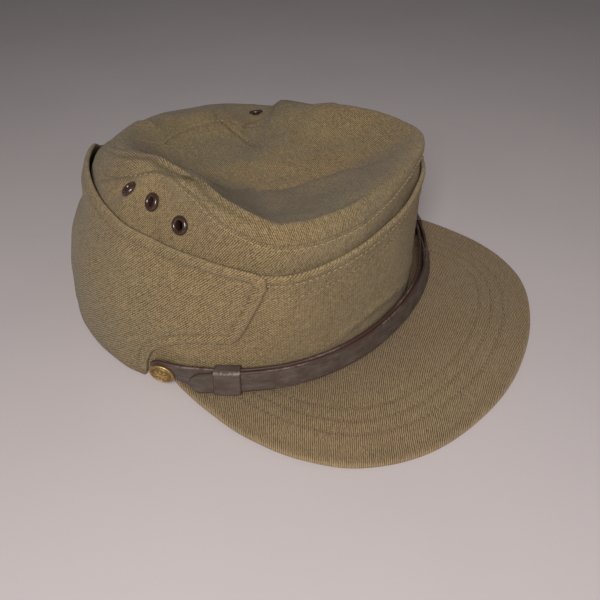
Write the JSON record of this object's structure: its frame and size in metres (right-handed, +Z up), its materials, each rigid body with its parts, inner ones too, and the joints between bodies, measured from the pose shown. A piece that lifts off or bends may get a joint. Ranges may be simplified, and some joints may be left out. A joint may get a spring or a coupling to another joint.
{
  "type": "field cap",
  "caption": "Soft khaki cotton field cap with a sagging crown, turned-up neck flap, stitched peak, leather chin strap, brass buttons and vent eyelets.",
  "frame": {"origin": "on the plane the rim lies on, under the middle of the cap's box", "axes": "+Z up, -Y the way the wearer faces and the peak points, +X the wearer's left"},
  "size_m": [0.194, 0.2496, 0.0871],
  "materials": {
    "cloth": "matte twill weave",
    "leather": "worn satin with burnished edges",
    "brass": "aged satin",
    "eyelet_metal": "dark brown gloss paint"
  },
  "bodies": {
    "root": {"crown_side": "cloth", "crown_tip": "cloth", "front_band": "cloth", "neck_flap": "cloth", "peak": "cloth", "strap_inner": "leather", "strap_outer": "leather", "keeper_right": "leather", "keeper_left": "leather", "button_right": "brass", "button_left": "brass", "eyelet_right_front": "eyelet_metal", "eyelet_right_middle": "eyelet_metal", "eyelet_right_rear": "eyelet_metal", "eyelet_left_front": "eyelet_metal", "eyelet_left_middle": "eyelet_metal", "eyelet_left_rear": "eyelet_metal"}
  },
  "joints": []
}
